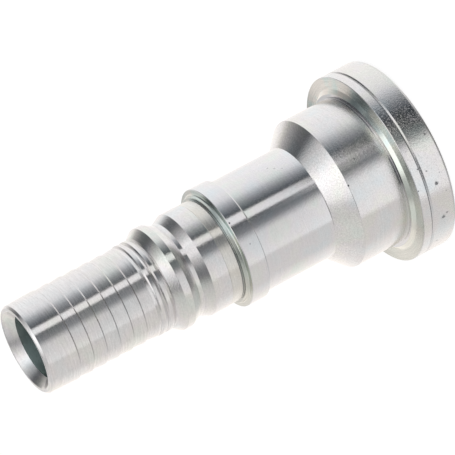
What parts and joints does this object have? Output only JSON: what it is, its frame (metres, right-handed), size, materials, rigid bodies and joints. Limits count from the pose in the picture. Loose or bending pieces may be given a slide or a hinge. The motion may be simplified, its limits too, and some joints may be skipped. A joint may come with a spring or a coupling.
{
  "type": "crimp hose fitting",
  "caption": "One-piece turned steel hose insert with a barbed tail, locking ridges, stop collar and a flanged head with a seal groove.",
  "frame": {"origin": "centre of the sealing face of the flanged head, on the axis, at the lowest point", "axes": "+Z along the turned axis, from the sealing face up to the end of the barbed tail; X and Y are any two directions across it"},
  "size_m": [0.054, 0.054, 0.1157],
  "materials": {
    "zinc_plated_steel": "bright zinc plating over fine turned steel, lightly stained and pitted"
  },
  "bodies": {
    "root": {"fitting_body": "zinc_plated_steel"}
  },
  "joints": []
}
